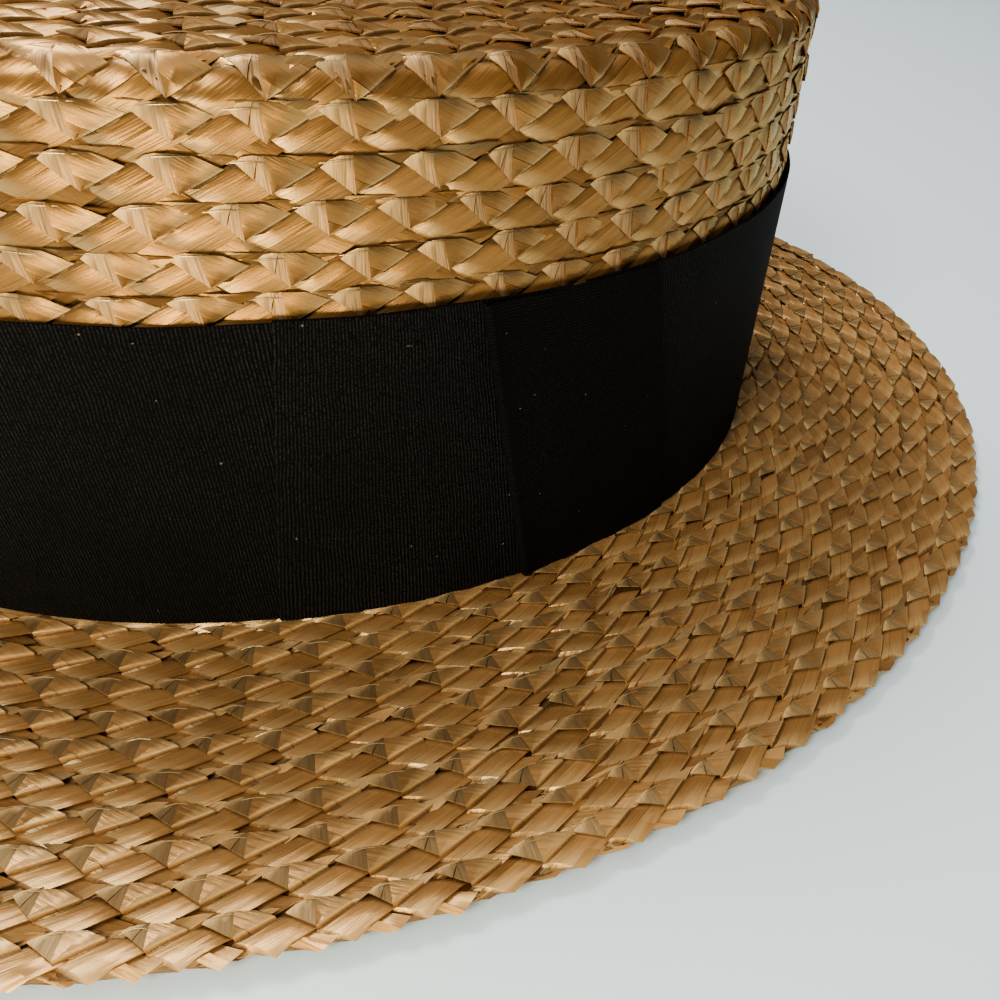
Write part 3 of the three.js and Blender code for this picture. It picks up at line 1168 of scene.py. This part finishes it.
# %% [markdown]
# The skin of straw is waxy and fibrous, so its highlights are golden and stretched across the
# fibres: some metallic, a gold tint and anisotropy along the UV map. Very small bumps are enough,
# because strong ones scatter the light and make the straw look like paper.

# %% Straw material
GOLD = (1.0, 0.84, 0.40, 1)


def straw_material():
    material, shader = new_material("straw")
    pattern = straw_patterns(material)
    colour = dirt_and_painted_light_colour(material, pattern, clean_colour(material, pattern))
    colour = blend(material, 1.0, colour, depth_shade(material), "MULTIPLY")
    connect(material, colour, shader.inputs["Base Color"])
    rough = stretch(material, pattern["broad"], 0.3, 0.7, 0.20, 0.32)
    rough = calculate(material, "ADD", rough, share(material, pattern["folded"], 0.18))
    connect(material, rough, shader.inputs["Roughness"])
    fine = bump(material, pattern["streaks"], 0.5, 0.07 * MM)
    connect(material, bump(material, pattern["broad"], 0.5, 0.25 * MM, fine), shader.inputs["Normal"])
    metallic = stretch(material, pattern["on_brim"], 0.0, 1.0, 0.60, 0.35)
    connect(material, metallic, shader.inputs["Metallic"])
    shader.inputs["IOR"].default_value = 1.6
    shader.inputs["Specular IOR Level"].default_value = 0.6
    shader.inputs["Specular Tint"].default_value = GOLD
    shader.inputs["Anisotropic"].default_value = 0.6
    across_fibres = node(material, "ShaderNodeTangent", direction_type="UV_MAP")
    connect(material, across_fibres.outputs["Tangent"], shader.inputs["Tangent"])
    return material


straw_finish = straw_material()
for piece in straw_pieces:
    piece.data.materials.clear()
    piece.data.materials.append(straw_finish)
    bpy.ops.object.select_all(action="DESELECT")
    piece.select_set(True)
    bpy.context.view_layer.objects.active = piece
    bpy.ops.object.shade_smooth_by_angle(angle=math.radians(35))
print(straw_finish.name, len(straw_finish.node_tree.nodes), "nodes on", len(straw_pieces), "pieces")

# %% [markdown]
# ## Grosgrain
#
# Grosgrain has fine ribs across its length, nearly two to a millimetre, of a dull black thread. Real ribs
# would take far too many faces, so a sine wave over the UV map gives their height and a painted shade
# between them, and a little noise makes them sway. On the knot the ribbon is turned, so its ribs lie level,
# and it takes more of the painted shade, so it is darker.

# %% Ribbon material
RIB = 0.56 * MM
CROSS_THREAD = 0.50 * MM
CLOTH_DARK = (0.0090, 0.0079, 0.0076, 1)
CLOTH_LIGHT = (0.0170, 0.0152, 0.0145, 1)
PAINTED_SHADE_BETWEEN_RIBS = (0.0004, 0.0003, 0.0003, 1)
LINT = (0.10, 0.09, 0.08, 1)


def wave(material, value, period):
    return calculate(material, "SINE", share(material, value, 2 * math.pi / period))


def ribbon_material(name, rib_axis, light=1.0):
    """Black grosgrain, with its ribs one after another along an axis of the UV map."""
    material, shader = new_material(name)
    uv = node(material, "ShaderNodeUVMap").outputs["UV"]
    place = node(material, "ShaderNodeTexCoord").outputs["Object"]
    parts = node(material, "ShaderNodeSeparateXYZ")
    connect(material, uv, parts.inputs[0])
    sway = share(material, noise(material, place, 110.0, 2.0, 0.5), 1.0 * MM)
    ribs = wave(material, calculate(material, "ADD", parts.outputs[rib_axis], sway), RIB)
    other_axis = "Y" if rib_axis == "X" else "X"
    threads = wave(material, parts.outputs[other_axis], CROSS_THREAD)
    height = calculate(material, "ADD", ribs, share(material, threads, 0.25))
    # Here the noise gives only the cloth's own wear: lighter and darker patches.
    wear_and_painted_light = stretch(material, noise(material, place, 25.0, 3.0, 0.6), 0.35, 0.7)
    colour = blend(material, wear_and_painted_light, CLOTH_DARK, CLOTH_LIGHT)
    grain = stretch(material, noise(material, place, 3500.0, 1.0, 0.5), 0.35, 0.65)
    # Painted shade between the ribs: only the crests keep the cloth's colour, and light sets how much of it
    # they keep.
    crest = calculate(material, "MULTIPLY", stretch(material, ribs, -0.2, 1.0), grain)
    colour = blend(material, share(material, crest, light), PAINTED_SHADE_BETWEEN_RIBS, colour)
    lint = stretch(material, noise(material, place, 900.0, 1.0, 0.5), 0.80, 0.83)
    colour = blend(material, lint, colour, LINT)
    connect(material, colour, shader.inputs["Base Color"])
    connect(material, bump(material, height, 0.45, 0.18 * MM), shader.inputs["Normal"])
    shader.inputs["Roughness"].default_value = 0.8
    shader.inputs["Specular IOR Level"].default_value = 0.05
    return material


upright_ribs = ribbon_material("black_grosgrain", "X")
# The knot's copy keeps less of the cloth's colour on its crests, a painted shade that makes it darker.
level_ribs = ribbon_material("black_grosgrain_knot", "Y", light=0.45)
for piece in ribbon_pieces:
    piece.data.materials.clear()
    piece.data.materials.append(level_ribs if piece is knot else upright_ribs)
print(upright_ribs.name, level_ribs.name, "on", len(ribbon_pieces), "pieces")

# %% [markdown]
# ## Floor and light
#
# The hat lies on a pale floor. A soft window stands high behind it to the left, and a wide ceiling
# light fills the shadows. A key light from the left front gives the straw its shape. Glossy straw
# shows its gold only where something bright mirrors in it, so two small warm cards stand low in
# front of the brim, where the left and the middle of the crown mirror them towards the camera.

# %% Floor and light
def add_floor():
    bpy.ops.object.select_all(action="DESELECT")
    bpy.ops.mesh.primitive_plane_add(size=6.0, location=(0, 0, 0))
    floor = bpy.context.object
    floor.name = "floor"
    material, shader = new_material("pale_floor")
    shader.inputs["Base Color"].default_value = (0.68, 0.80, 0.84, 1)
    shader.inputs["Roughness"].default_value = 0.6
    floor.data.materials.append(material)


def add_light(name, place, aim, width, height, power, colour):
    data = bpy.data.lights.new(name, "AREA")
    data.shape = "RECTANGLE"
    data.size = width
    data.size_y = height
    data.energy = power
    data.color = colour
    light = bpy.data.objects.new(name, data)
    bpy.context.collection.objects.link(light)
    light.location = place
    light.rotation_mode = "QUATERNION"
    light.rotation_quaternion = (Vector(aim) - Vector(place)).to_track_quat("-Z", "Y")
    return light


add_floor()
add_light("window", (-0.34, 0.56, 1.13), (0, 0, 0.05), 0.45, 0.45, 20.0, (1.0, 0.96, 0.90))
add_light("ceiling", (0.0, 0.1, 1.6), (0, 0, 0), 1.5, 1.5, 12.0, (1.0, 0.99, 0.97))
add_light("key", (-0.36, -0.50, 0.62), (0, -0.05, 0.05), 0.25, 0.25, 7.0, (1.0, 0.97, 0.90))
add_light("low_card", (-0.078, -0.218, 0.024), (0.0, -0.085, 0.078), 0.075, 0.030, 0.22, (1.0, 0.84, 0.48))
add_light("middle_card", (0.0, -0.24, 0.022), (0.03, -0.08, 0.078), 0.06, 0.030, 0.10, (1.0, 0.84, 0.48))
world = bpy.data.worlds.new("room")
bpy.context.scene.world = world
world.use_nodes = True
world.node_tree.nodes["Background"].inputs["Color"].default_value = (0.80, 0.87, 0.92, 1)
world.node_tree.nodes["Background"].inputs["Strength"].default_value = 0.16
